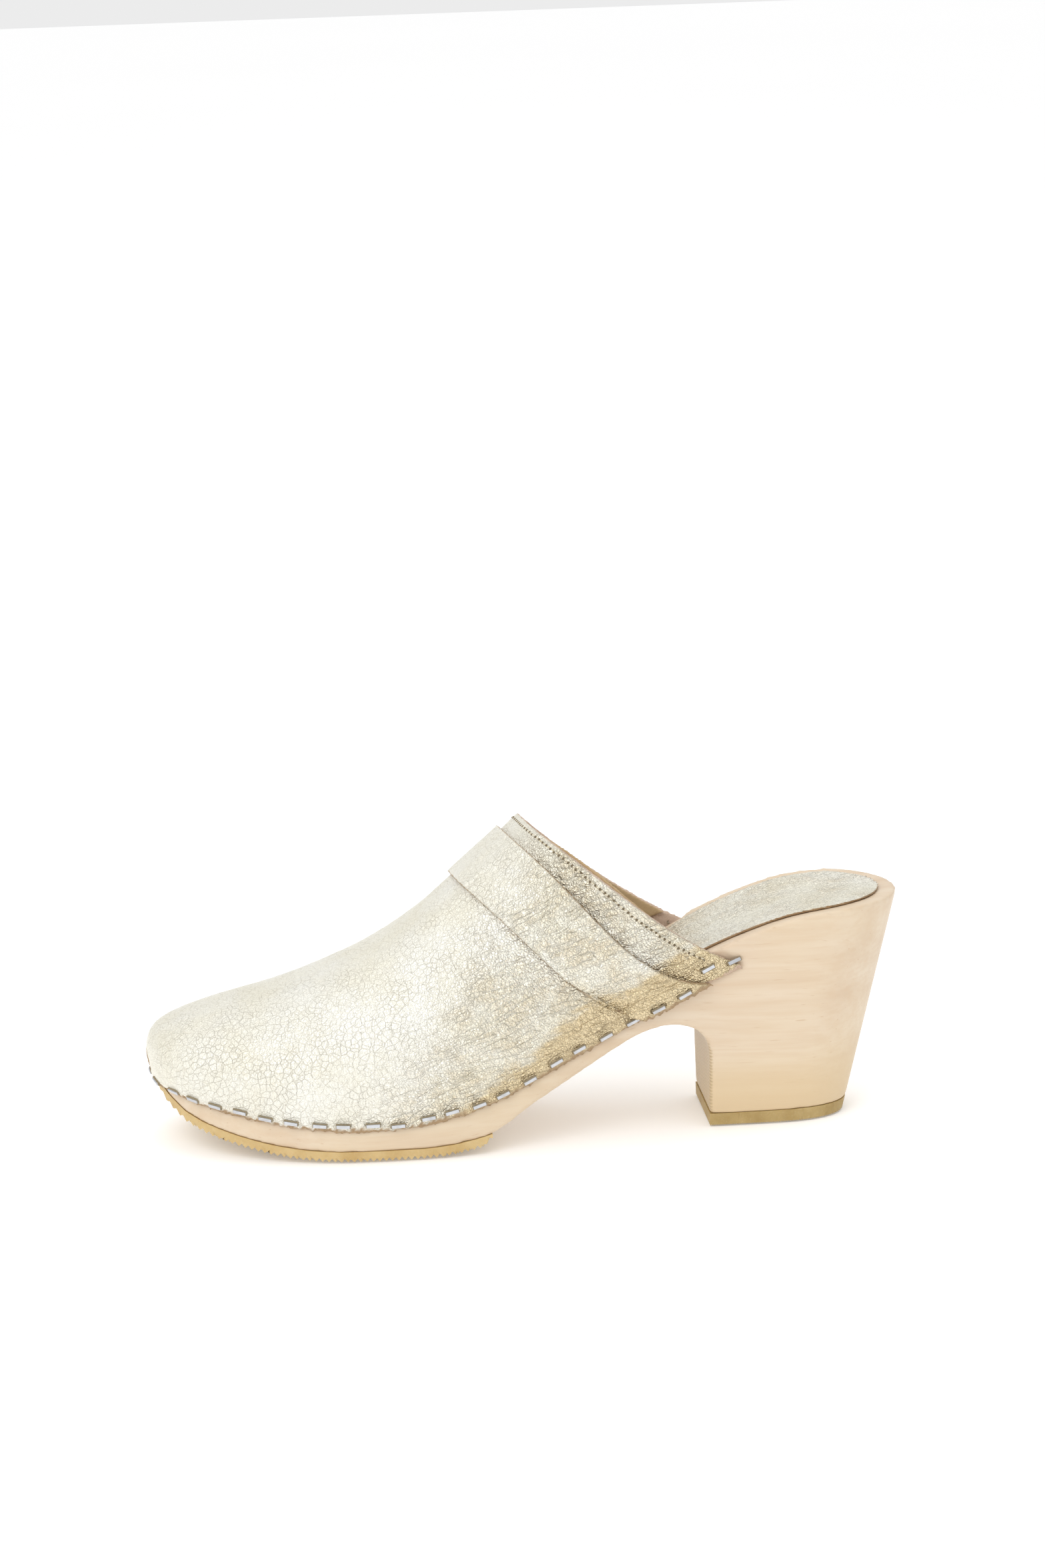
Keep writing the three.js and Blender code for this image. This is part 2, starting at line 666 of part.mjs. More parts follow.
// What the leather must stay clear of, each grown by the least gap between touching pieces.
const nearWood = woodEnvelope(leastGap);
const nearVamp = leatherSlab(vampGrid, -leather / 2, leather + leastGap);
const nearCollar = leatherSlab(collarGrid, -leather / 2 - leastGap, leather + 2 * leastGap);

function vamp() {
  return leatherSlab(vampGrid, -leather / 2, leather).subtract(nearWood).subtract(allSlots);
}

function collarBand() {
  return leatherSlab(collarGrid, -leather / 2, leather).subtract(nearWood).subtract(allSlots);
}

function instepStrap() {
  return leatherSlab(strapGrid, leather / 2 + layerGap, strapLeather)
    .subtract(nearWood)
    .subtract(nearVamp)
    .subtract(nearCollar)
    .subtract(allSlots);
}

function collarLining() {
  return leatherSlab(liningGrid, -leather / 2 - layerGap - liningLeather, liningLeather)
    .subtract(nearWood)
    .subtract(nearCollar);
}

// A fine thread laid along the throat, on the outer face of the collar.
function collarStitching() {
  const line = band(1 - stitchInset, 1 - stitchInset, 1, 48, () => 0.06)[0];
  const path = line.map(({ point, normal }) => (
    point.clone().addScaledVector(normal, leather / 2 + threadWidth / 2 + 0.1)));
  const ring = line.map(({ normal }, i) => {
    const before = path[Math.max(i - 1, 0)];
    const after = path[Math.min(i + 1, path.length - 1)];
    const side = after.clone().sub(before).cross(normal).normalize();
    return [0, 1, 2, 3].map((k) => {
      const angle = (Math.PI / 2) * k;
      return path[i].clone()
        .addScaledVector(normal, (threadWidth / 2) * Math.cos(angle))
        .addScaledVector(side, (threadWidth / 2) * Math.sin(angle));
    });
  });
  const positions = ring.flat().flatMap((p) => [p.x, p.y, p.z]);
  const indices = [0, 2, 1, 0, 3, 2];
  for (let i = 0; i < ring.length - 1; i += 1) {
    for (let k = 0; k < 4; k += 1) {
      const a = 4 * i + k;
      const b = 4 * i + ((k + 1) % 4);
      indices.push(a, b, b + 4, a, b + 4, a + 4);
    }
  }
  const end = 4 * (ring.length - 1);
  indices.push(end, end + 1, end + 2, end, end + 2, end + 3);
  const made = solid(geometryFrom(positions, indices));
  return made.volume() > 0 ? made : solid(geometryFrom(positions, indices.reverse()));
}

// ---- Materials and assembly ----------------------------------------------------------------
const looks = {
  wood: { color: 0xf0d3ad, roughness: 0.55, metalness: 0 },
  rubber: { color: 0xb9a25c, roughness: 0.7, metalness: 0 },
  metallicLeather: { color: 0xe2ddc6, roughness: 0.35, metalness: 0.7 },
  suede: { color: 0xb08a50, roughness: 0.95, metalness: 0 },
  steel: { color: 0xc9ced4, roughness: 0.3, metalness: 1 },
  thread: { color: 0x9a8350, roughness: 0.8, metalness: 0 },
};

const clog = new THREE.Group();
function addPart(name, geometry, look) {
  const mesh = new THREE.Mesh(geometry, new THREE.MeshStandardMaterial(looks[look]));
  mesh.name = name;
  clog.add(mesh);
  return mesh;
}

addPart('sole_block', geometryOf(soleBlock()), 'wood');
addPart('forefoot_outsole', geometryOf(forefootOutsole()), 'rubber');
addPart('heel_lift', geometryOf(heelLift()), 'rubber');
addPart('heel_sock', geometryOf(heelSock()), 'metallicLeather');
addPart('vamp', geometryOf(vamp()), 'metallicLeather');
addPart('instep_strap', geometryOf(instepStrap()), 'metallicLeather');
addPart('collar_band', geometryOf(collarBand()), 'metallicLeather');
addPart('collar_lining', geometryOf(collarLining()), 'suede');
addPart('collar_stitching', geometryOf(collarStitching()), 'thread');
for (const { name, frame } of staples) {
  const mesh = addPart(name, stapleGeometry(), 'steel');
  mesh.applyMatrix4(frame);
}

// The origin is at the middle of the footprint, on the floor.
const clogOnFloor = new THREE.Group();
clogOnFloor.add(clog);
const extent = new THREE.Box3().setFromObject(clog, true);
const middle = extent.getCenter(new THREE.Vector3());
clog.position.set(-middle.x, -middle.y, 0);

export default clogOnFloor;
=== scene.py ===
"""Looks of the heeled clog: pale wood, crackled gold leather, gum rubber and flat staples.

Lengths are in metres and the frame is the CAD frame: +X towards the toe, +Y to the outer side
of this left shoe, +Z up, with the ground at z = 0.
"""
import math

import bmesh
import bpy
import numpy
from mathutils import Matrix, Vector, noise
from mathutils.bvhtree import BVHTree
from mathutils.kdtree import KDTree


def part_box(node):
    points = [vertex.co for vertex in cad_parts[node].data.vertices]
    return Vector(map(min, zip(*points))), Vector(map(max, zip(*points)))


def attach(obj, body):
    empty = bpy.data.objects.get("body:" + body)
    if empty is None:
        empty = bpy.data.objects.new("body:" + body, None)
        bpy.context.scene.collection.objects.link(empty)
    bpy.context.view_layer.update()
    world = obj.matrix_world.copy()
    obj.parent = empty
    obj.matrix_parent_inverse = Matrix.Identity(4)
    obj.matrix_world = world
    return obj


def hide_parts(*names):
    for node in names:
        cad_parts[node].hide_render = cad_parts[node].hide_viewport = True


MM = 0.001
WELD = 0.01 * MM  # points closer than this are one point

noise.seed_set(1)  # otherwise noise vectors follow the clock, and the creases move from run to run
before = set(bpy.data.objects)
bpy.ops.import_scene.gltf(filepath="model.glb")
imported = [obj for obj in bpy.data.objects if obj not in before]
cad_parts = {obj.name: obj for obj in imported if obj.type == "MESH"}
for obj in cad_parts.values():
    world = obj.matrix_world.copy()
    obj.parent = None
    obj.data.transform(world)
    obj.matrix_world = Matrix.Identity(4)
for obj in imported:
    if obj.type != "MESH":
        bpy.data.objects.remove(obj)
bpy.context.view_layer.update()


# ---- Helpers for working on one piece at a time ---------------------------------------------
def pick(piece):
    """Select one piece alone and make it active."""
    bpy.ops.object.select_all(action="DESELECT")
    piece.select_set(True)
    bpy.context.view_layer.objects.active = piece


def new_object(name, data):
    """A new object in the scene, at the origin."""
    thing = bpy.data.objects.new(name, data)
    bpy.context.scene.collection.objects.link(thing)
    return thing


def piece_from(build, name):
    """A new piece from a finished bmesh."""
    mesh = bpy.data.meshes.new(name)
    build.to_mesh(mesh)
    build.free()
    return new_object(name, mesh)


def copy_of(node, name):
    """A new piece with the CAD node's shape, its loose triangles merged."""
    piece = new_object(name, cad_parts[node].data.copy())
    piece.data.materials.clear()
    pick(piece)
    bpy.ops.object.mode_set(mode="EDIT")
    bpy.ops.mesh.select_all(action="SELECT")
    bpy.ops.mesh.remove_doubles(threshold=WELD)
    bpy.ops.object.mode_set(mode="OBJECT")
    return piece


def finish_modifier(piece, modifier):
    """Apply a modifier to its piece, which stays picked."""
    pick(piece)
    bpy.ops.object.modifier_apply(modifier=modifier.name)


def even_out(piece, grain, rounds):
    """Remesh a piece into even small faces and soften its corners."""
    remesh = piece.modifiers.new("even_faces", "REMESH")
    remesh.mode = "VOXEL"
    remesh.voxel_size = grain
    finish_modifier(piece, remesh)
    soften = piece.modifiers.new("soften", "SMOOTH")
    soften.factor = 0.5
    soften.iterations = rounds
    finish_modifier(piece, soften)
    bpy.ops.object.shade_smooth()


def settle(piece, material, slot, *nodes):
    """Hand a finished piece to the frame, standing for the CAD nodes that it replaces."""
    piece.data.materials.clear()
    piece.data.materials.append(material)
    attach(piece, "root")
    if nodes:
        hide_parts(*nodes)
    return piece


def reshape(piece, move):
    """Move every point along its normal by move(point, normal, index) metres."""
    spots = [(vertex.co.copy(), vertex.normal.copy()) for vertex in piece.data.vertices]
    flat = []
    for index, (point, normal) in enumerate(spots):
        flat.extend(point + normal * move(point, normal, index))
    piece.data.vertices.foreach_set("co", flat)
    piece.data.update()


def surface_of(piece):
    """The piece's surface as it is now, to find near points and what a line meets."""
    return BVHTree.FromObject(piece, bpy.context.evaluated_depsgraph_get())


def ramp(value, low, high):
    """0 below low, 1 above high, smooth between."""
    share = min(max((value - low) / (high - low), 0.0), 1.0)
    return share * share * (3 - 2 * share)


def bell(distance, width):
    """1 at no distance, next to nothing beyond two widths."""
    return math.exp(-((distance / width) ** 2))


def write_mask(piece, name, values):
    """Store one value per point, which the piece's material reads."""
    layer = piece.data.attributes.new(name, "FLOAT", "POINT")
    layer.data.foreach_set("value", values)


# ---- Shader building -----------------------------------------------------------------------
class Nodes:
    """Adds and links nodes in one tree."""

    def __init__(self, tree):
        self.tree = tree

    def add(self, kind, settings=None, **inputs):
        node = self.tree.nodes.new(kind)
        for key, value in (settings or {}).items():
            setattr(node, key, value)
        for key, value in inputs.items():
            self.feed(node, key.replace("_", " "), value)
        return node

    def feed(self, node, key, value):
        socket = node.inputs[int(key)] if key.isdigit() else node.inputs[key]
        if isinstance(value, bpy.types.NodeSocket):
            self.tree.links.new(value, socket)
        else:
            socket.default_value = value

    def maths(self, operation, first, second=0.0, clamp=False):
        node = self.add("ShaderNodeMath", {"operation": operation, "use_clamp": clamp})
        self.feed(node, "0", first)
        self.feed(node, "1", second)
        return node.outputs[0]

    def times(self, first, second):
        return self.maths("MULTIPLY", first, second)

    def plus(self, first, second, clamp=False):
        return self.maths("ADD", first, second, clamp)

    def minus(self, first, second):
        return self.maths("SUBTRACT", first, second)

    def vectors(self, operation, *values, **inputs):
        """A vector calculation; the values fill its vector sockets in order."""
        node = self.add("ShaderNodeVectorMath", {"operation": operation}, **inputs)
        for index, value in enumerate(values):
            self.feed(node, str(index), value)
        return node.outputs[0]

    def noise_at(self, where, scale, **inputs):
        """A noise texture's node, read at where."""
        return self.add("ShaderNodeTexNoise", Vector=where, Scale=scale, **inputs)

    def cells_at(self, where, scale):
        """How far where lies from the nearest border between cells."""
        node = self.add("ShaderNodeTexVoronoi", {"feature": "DISTANCE_TO_EDGE"}, Vector=where, Scale=scale)
        return node.outputs["Distance"]

    def mask(self, name):
        """The values that write_mask stored in the piece."""
        return self.add("ShaderNodeAttribute", {"attribute_name": name}).outputs["Fac"]

    def relief(self, skin, height, strength, distance):
        """Bump the shader's normal by a height; distance is in metres."""
        bump = self.add("ShaderNodeBump", Strength=strength, Distance=distance, Height=height)
        self.feed(skin, "Normal", bump.outputs[0])

    def steps(self, value, stops):
        """A colour ramp; stops are (position, brightness) or (position, colour)."""
        node = self.add("ShaderNodeValToRGB", Fac=value)
        elements = node.color_ramp.elements
        while len(elements) < len(stops):
            elements.new(0.5)
        for element, (position, tone) in zip(elements, stops):
            element.position = position
            element.color = (tone, tone, tone, 1) if isinstance(tone, (int, float)) else (*tone, 1)
        return node.outputs[0]

    def mix(self, share, first, second, blend="MIX"):
        node = self.add("ShaderNodeMix", {"data_type": "RGBA", "blend_type": blend})
        for index, value in ((0, share), (6, first), (7, second)):
            if isinstance(value, tuple):
                value = (*value, 1.0)
            self.feed(node, str(index), value)
        return node.outputs[2]

    def place(self, scale=(1, 1, 1), turn=(0, 0, 0)):
        """Object coordinates in metres, turned and scaled."""
        where = self.add("ShaderNodeTexCoord").outputs["Object"]
        return self.add("ShaderNodeMapping", Vector=where, Rotation=turn, Scale=scale).outputs[0]


def new_group(name, inputs, outputs):
    """An empty shader group; inputs are (name, socket type, default), outputs (name, socket type)."""
    group = bpy.data.node_groups.new(name, "ShaderNodeTree")
    for label, kind, default in inputs:
        socket = group.interface.new_socket(label, in_out="INPUT", socket_type=kind)
        if default is not None:
            socket.default_value = default
    for label, kind in outputs:
        group.interface.new_socket(label, in_out="OUTPUT", socket_type=kind)
    nodes = Nodes(group)
    return group, nodes, nodes.add("NodeGroupInput"), nodes.add("NodeGroupOutput")


def crackle_group():
    """Foil leather: a fine pebble, creases where the skin has flexed, and pits where the foil is lost."""
    group, n, into, out = new_group(
        "foil_crackle",
        [
            ("Vector", "NodeSocketVector", None),
            ("Cells", "NodeSocketFloat", 600.0),
            ("Flex", "NodeSocketFloat", 0.5),
        ],
        [("Height", "NodeSocketFloat"), ("Creases", "NodeSocketFloat"), ("Pits", "NodeSocketFloat")],
    )
    where, cells, flex = (into.outputs[name] for name in ("Vector", "Cells", "Flex"))
    drift = n.noise_at(where, n.times(cells, 0.6), Detail=2.0, Roughness=0.6)
    pull = n.vectors("SUBTRACT", drift.outputs["Color"], (0.5, 0.5, 0.5))
    shift = n.vectors("SCALE", pull, Scale=n.maths("DIVIDE", 0.8, cells))
    moved = n.vectors("ADD", where, shift)
    # long creases: the zero lines of a noise drawn out along the shoe
    drawn = n.add("ShaderNodeMapping", Vector=moved, Scale=(0.22, 1.0, 1.0)).outputs[0]
    wavy = n.noise_at(drawn, n.times(cells, 0.6), Detail=1.0, Roughness=0.5)
    off_line = n.maths("ABSOLUTE", n.minus(wavy.outputs["Fac"], 0.5))
    off_crack = n.cells_at(moved, n.times(cells, 0.75))
    off_pebble = n.cells_at(moved, n.times(cells, 1.7))
    broad = n.noise_at(where, n.times(cells, 0.16), Detail=4.0, Roughness=0.6)
    speck = n.noise_at(where, n.times(cells, 1.3), Detail=3.0, Roughness=0.7)
    crease = n.steps(off_line, [(0.0, 0.0), (0.03, 0.6), (0.1, 1.0)])
    crack = n.steps(off_crack, [(0.0, 0.0), (0.05, 0.8), (0.14, 1.0)])
    grain = n.steps(off_pebble, [(0.0, 0.0), (0.12, 0.7), (0.3, 1.0)])
    patchy = n.steps(broad.outputs["Fac"], [(0.38, 0.45), (0.6, 1.0)])
    worked = n.times(flex, patchy)
    height = n.times(crease, n.plus(n.times(worked, 1.5), 0.1))
    height = n.plus(height, n.times(crack, n.times(patchy, 0.55)))
    height = n.plus(height, n.times(grain, n.plus(n.times(flex, 0.25), 0.3)))
    height = n.plus(height, n.times(speck.outputs["Fac"], 0.8))
    open_crack = n.times(n.minus(1.0, crack), n.times(patchy, 0.7))
    creases = n.maths("MAXIMUM", n.times(n.minus(1.0, crease), worked), open_crack)
    lost = n.steps(speck.outputs["Fac"], [(0.685, 0.0), (0.74, 1.0)])
    pits = n.times(lost, n.times(patchy, n.plus(n.times(flex, 0.7), 0.3)))
    n.feed(out, "Height", height)
    n.feed(out, "Creases", creases)
    n.feed(out, "Pits", pits)
    return group


def nap_group():
    """Short fibres, as on suede and on a raw cut edge."""
    group, n, into, out = new_group(
        "leather_nap",
        [("Vector", "NodeSocketVector", None), ("Fibres", "NodeSocketFloat", 2500.0)],
        [("Height", "NodeSocketFloat"), ("Tone", "NodeSocketFloat")],
    )
    where, fibres = into.outputs["Vector"], into.outputs["Fibres"]
    fuzz = n.noise_at(where, fibres, Detail=4.0, Roughness=0.75, Distortion=0.6)
    clumps = n.noise_at(where, n.times(fibres, 0.16), Detail=3.0)
    tone = n.plus(n.times(fuzz.outputs["Fac"], 0.55), n.times(clumps.outputs["Fac"], 0.45))
    n.feed(out, "Height", n.plus(fuzz.outputs["Fac"], clumps.outputs["Fac"]))
    n.feed(out, "Tone", tone)
    return group


CRACKLE = crackle_group()
NAP = nap_group()


def new_material(name, plain_colour):
    """A material with its node builder and its Principled BSDF; the colour is for plain views."""
    material = bpy.data.materials.new(name)
    material.use_nodes = True
    material.diffuse_color = (*plain_colour, 1)
    tree = material.node_tree
    return material, Nodes(tree), tree.nodes["Principled BSDF"]


def foil_leather(name, cells, foil, painted_reflection_foil, edge_tone):
    """Metal-foiled leather on its face, bare tan fibre on its cut edges and flesh side.

    The piece's own marks say where it is raw, where it has flexed and where its gold is painted deeper, a
    painted reflection of dim surroundings.
    """
    material, n, skin = new_material(name, foil)
    along = n.place(turn=(0, math.radians(-19), 0))
    raw, flex, painted_reflection = (n.mask(name) for name in ("raw", "flex", "painted_reflection"))
    crackle = n.add("ShaderNodeGroup", {"node_tree": CRACKLE}, Vector=along, Cells=cells, Flex=flex)
    where = n.place()
    nap = n.add("ShaderNodeGroup", {"node_tree": NAP}, Vector=where, Fibres=2200.0)
    tone = n.noise_at(where, 38.0, Detail=5.0, Roughness=0.62)
    mottle = n.steps(tone.outputs["Fac"], [(0.36, 0.0), (0.64, 1.0)])
    worn_foil = (0.94 * foil[0], 0.92 * foil[1], 0.86 * foil[2])
    lit = n.mix(mottle, foil, worn_foil)
    # painted reflection: the foil takes a deeper, browner gold where the mark says it faces dim
    # surroundings
    painted_reflection_edge = n.plus(painted_reflection, n.times(n.minus(crackle.outputs["Height"], 1.2), 0.3))
    lit = n.mix(n.steps(painted_reflection_edge, [(0.1, 0.0), (0.95, 1.0)]), lit, painted_reflection_foil)
    lined = n.mix(n.times(crackle.outputs["Creases"], 0.3), lit, TAN_CREASE)
    pitted = n.mix(n.times(crackle.outputs["Pits"], 0.75), lined, PIT_BROWN)
    dark_fibre, light_fibre = tuple(0.62 * c for c in edge_tone), tuple(min(1.3 * c, 1) for c in edge_tone)
    fibre = n.mix(nap.outputs["Tone"], dark_fibre, light_fibre)
    n.feed(skin, "Base Color", n.mix(raw, pitted, fibre))
    bare = n.maths("MAXIMUM", raw, n.times(crackle.outputs["Pits"], 0.7))
    shine = n.plus(0.4, n.times(n.maths("MAXIMUM", flex, painted_reflection), 0.5))
    n.feed(skin, "Metallic", n.times(n.minus(1.0, bare), shine))
    gloss = n.plus(0.34, n.times(tone.outputs["Fac"], 0.2))
    gloss = n.minus(gloss, n.times(flex, 0.2))
    n.feed(skin, "Roughness", n.plus(gloss, n.times(bare, 0.45), clamp=True))
    n.relief(skin, n.mix(raw, crackle.outputs["Height"], nap.outputs["Height"]), 1.0, 0.35 * MM)
    return material


def suede(name, dark, light):
    """Brushed leather: a fine nap in two tones, with broad shading and a slight sheen."""
    material, n, skin = new_material(name, light)
    where = n.place()
    nap = n.add("ShaderNodeGroup", {"node_tree": NAP}, Vector=where, Fibres=1900.0)
    broad = n.noise_at(where, 60.0, Detail=3.0)
    colour = n.mix(nap.outputs["Tone"], dark, light)
    shade = n.steps(broad.outputs["Fac"], [(0.3, 0.86), (0.7, 1.0)])
    n.feed(skin, "Base Color", n.mix(0.8, colour, shade, "MULTIPLY"))
    skin.inputs["Roughness"].default_value = 0.92
    skin.inputs["Sheen Weight"].default_value = 0.25
    skin.inputs["Sheen Roughness"].default_value = 0.5
    n.relief(skin, nap.outputs["Height"], 0.7, 0.3 * MM)
    return material


def pale_wood():
    """Sanded pale wood with its grain along the shoe, fine pores and a satin finish."""
    material, n, skin = new_material("pale_wood", (0.73, 0.60, 0.45))
    where = n.place()
    lengthways = n.place(turn=(0, math.radians(4), 0), scale=(0.05, 1.0, 1.0))
    drift = n.noise_at(n.place(scale=(0.35, 1, 1)), 26.0, Detail=2.0)
    bent = n.vectors("MULTIPLY_ADD", drift.outputs["Color"], (0.0, 6 * MM, 12 * MM), lengthways)
    rings = n.noise_at(bent, 150.0, Detail=4.0, Roughness=0.55)
    streaks = n.noise_at(bent, 620.0, Detail=3.0, Roughness=0.6)
    pores = n.noise_at(bent, 1700.0, Detail=1.0)
    broad = n.noise_at(where, 18.0, Detail=2.0)
    late_wood, mid_wood, early_wood = (0.64, 0.495, 0.35), (0.685, 0.555, 0.41), (0.72, 0.605, 0.465)
    streak_tone, pore_tone, sawn_tone = (0.62, 0.45, 0.29), (0.52, 0.33, 0.19), (0.46, 0.35, 0.19)
    warm_tone, low_tone = (0.75, 0.62, 0.41), (0.66, 0.505, 0.30)
    colour = n.steps(rings.outputs["Fac"], [(0.28, late_wood), (0.5, mid_wood), (0.72, early_wood)])
    colour = n.mix(n.steps(streaks.outputs["Fac"], [(0.38, 0.32), (0.56, 0.0)]), colour, streak_tone)
    pore = n.steps(pores.outputs["Fac"], [(0.70, 0.0), (0.78, 0.55)])
    colour = n.mix(pore, colour, pore_tone)
    warm = n.steps(broad.outputs["Fac"], [(0.4, 0.0), (0.7, 0.35)])
    colour = n.mix(warm, colour, warm_tone)
    low = n.mask("low")
    colour = n.mix(n.times(low, 0.75), colour, low_tone)
    sawn = n.mask("sawn")
    level = {"bands_direction": "Z"}
    marks = n.add("ShaderNodeTexWave", level, Vector=where, Scale=280.0, Distortion=2.5, Detail=2.0)
    shade = n.times(sawn, n.steps(marks.outputs["Fac"], [(0.2, 0.75), (0.8, 0.2)]))
    n.feed(skin, "Base Color", n.mix(shade, colour, sawn_tone))
    n.feed(skin, "Roughness", n.plus(0.42, n.times(streaks.outputs["Fac"], 0.16)))
    relief = n.minus(n.times(streaks.outputs["Fac"], 0.5), pore)
    relief = n.plus(relief, n.times(n.times(marks.outputs["Fac"], sawn), 6.0))
    n.relief(skin, relief, 0.2, 0.12 * MM)
    skin.inputs["Coat Weight"].default_value = 0.12
    skin.inputs["Coat Roughness"].default_value = 0.35
    return material


def gum_rubber(name, dark, light):
    """Gum rubber: tan, cloudy, with mould specks and a dusty bloom."""
    material, n, skin = new_material(name, light)
    where = n.place()
    cloud = n.noise_at(where, 90.0, Detail=4.0, Roughness=0.6)
    specks = n.noise_at(where, 1400.0, Detail=3.0, Roughness=0.7)
    colour = n.steps(cloud.outputs["Fac"], [(0.32, dark), (0.68, light)])
    bloom = n.steps(specks.outputs["Fac"], [(0.55, 0.0), (0.75, 0.45)])
    bloom_tone = (0.70, 0.58, 0.38)
    n.feed(skin, "Base Color", n.mix(n.times(bloom, 0.6), colour, bloom_tone))
    n.feed(skin, "Roughness", n.plus(0.46, n.times(cloud.outputs["Fac"], 0.2)))
    skin.inputs["Subsurface Weight"].default_value = 0.15
    skin.inputs["Subsurface Radius"].default_value = (0.004, 0.0025, 0.001)
    skin.inputs["Subsurface Scale"].default_value = 0.5
    n.relief(skin, specks.outputs["Fac"], 0.25, 0.1 * MM)
    return material


def staple_steel():
    """Flat zinc-bright wire with lengthwise drawing marks and small dull spots."""
    material, n, skin = new_material("staple_steel", (0.66, 0.68, 0.72))
    where = n.place()
    marks = n.noise_at(where, 3600.0, Detail=2.0)
    dull = n.noise_at(where, 420.0, Detail=3.0)
    bright_tone, dull_tone = (0.62, 0.64, 0.68), (0.46, 0.46, 0.47)
    spots = n.steps(dull.outputs["Fac"], [(0.45, 0.0), (0.7, 0.6)])
    n.feed(skin, "Base Color", n.mix(spots, bright_tone, dull_tone))
    n.feed(skin, "Metallic", n.steps(dull.outputs["Fac"], [(0.4, 1.0), (0.8, 0.8)]))
    n.feed(skin, "Roughness", n.plus(0.34, n.times(marks.outputs["Fac"], 0.2)))
    n.relief(skin, marks.outputs["Fac"], 0.3, 0.04 * MM)
    return material


def sewing_thread():
    """Tan thread with its twist, its grooves painted darker and its strands lighter: painted shade and
    light.
    """
    material, n, skin = new_material("sewing_thread", (0.66, 0.58, 0.42))
    where = n.place()
    slanted = {"bands_direction": "DIAGONAL"}
    twist = n.add("ShaderNodeTexWave", slanted, Vector=where, Scale=900.0, Distortion=2.0)
    # painted shade in the twist's grooves and painted light on its strands
    groove_shade_tone, strand_lit_tone = (0.50, 0.42, 0.27), (0.80, 0.74, 0.60)
    n.feed(skin, "Base Color", n.mix(twist.outputs["Fac"], groove_shade_tone, strand_lit_tone))
    n.feed(skin, "Roughness", n.plus(0.55, n.times(twist.outputs["Fac"], 0.2)))
    n.relief(skin, twist.outputs["Fac"], 0.4, 0.06 * MM)
    return material


def pierced_leather(name, dark, light):
    """Leather in the shade of a needle hole or of a staple's edge."""
    material, n, skin = new_material(name, dark)
    rough = n.noise_at(n.place(), 3000.0, Detail=2.0)
    n.feed(skin, "Base Color", n.mix(rough.outputs["Fac"], dark, light))
    skin.inputs["Roughness"].default_value = 0.9
    return material


GOLD = (0.86, 0.845, 0.77)
# painted reflection: the deeper gold that the foil shows where it faces dim surroundings
PAINTED_REFLECTION_GOLD = (0.72, 0.60, 0.39)
SOCK_GOLD = (0.85, 0.83, 0.74)
# painted shade: the tan gold of the sock's foil towards its front, where it lies in shadow
PAINTED_SOCK_SHADE = (0.60, 0.46, 0.28)
TAN_CREASE = (0.52, 0.42, 0.26)
PIT_BROWN = (0.24, 0.20, 0.13)
TAN_EDGE = (0.44, 0.30, 0.17)
PINK_EDGE = (0.66, 0.49, 0.37)
SOCK_EDGE = (0.40, 0.26, 0.14)
upper_leather = foil_leather("gold_foil_leather", 620.0, GOLD, PAINTED_REFLECTION_GOLD, TAN_EDGE)
collar_leather = foil_leather("collar_foil_leather", 640.0, GOLD, PAINTED_REFLECTION_GOLD, PINK_EDGE)
sock_leather = foil_leather("sock_foil_leather", 520.0, SOCK_GOLD, PAINTED_SOCK_SHADE, SOCK_EDGE)
lining_suede = suede("tan_suede", (0.40, 0.27, 0.13), (0.62, 0.45, 0.25))
wood = pale_wood()
outsole_rubber = gum_rubber("outsole_gum_rubber", (0.53, 0.36, 0.14), (0.65, 0.49, 0.24))
lift_rubber = gum_rubber("lift_gum_rubber", (0.38, 0.26, 0.09), (0.50, 0.37, 0.16))
steel = staple_steel()
thread = sewing_thread()
# painted shade of the needle holes
hole_shade_dark = pierced_leather("needle_hole_shade", (0.09, 0.065, 0.035), (0.22, 0.17, 0.10))
# painted shadow round the staples' crowns
staple_shadow_dark = pierced_leather("painted_staple_shadow", (0.20, 0.16, 0.10), (0.38, 0.31, 0.20))


# ---- Wood sole -----------------------------------------------------------------------------
def carve_sole():
    """The wood, marked where the saw has left its lines and where it is darker, low on the heel."""
    sole = copy_of("sole_block", "wood_sole")
    even_out(sole, 0.85 * MM, 12)
    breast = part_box("heel_lift")[1].x
    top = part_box("sole_block")[1].z
    saw_top, dark_top = 0.45 * top, 0.42 * top
    sawn, low = [], []
    for vertex in sole.data.vertices:
        point, normal = vertex.co, vertex.normal
        on_heel = ramp(normal.x, 0.4, 0.75) * ramp(breast + 5 * MM - point.x, 0, 3 * MM)
        sawn.append(on_heel * ramp(saw_top - point.z, 0, 6 * MM))
        low.append(ramp(dark_top - point.z, 0, 0.3 * top) * ramp(breast + 8 * MM - point.x, 0, 8 * MM))
    write_mask(sole, "sawn", sawn)
    write_mask(sole, "low", low)
    settle(sole, wood, "wood", "sole_block")


# ---- Leather -------------------------------------------------------------------------------
AXIS_X, AXIS_Z, AXIS_RISE = 100, 30, 0.3  # the foot's middle line: a point in mm, and its climb to the heel


def foot_axis(point):
    """The middle of the space for the foot, level with this point along the shoe."""
    return Vector((point.x, 0.0, (AXIS_Z + AXIS_RISE * (AXIS_X - point.x / MM)) * MM))


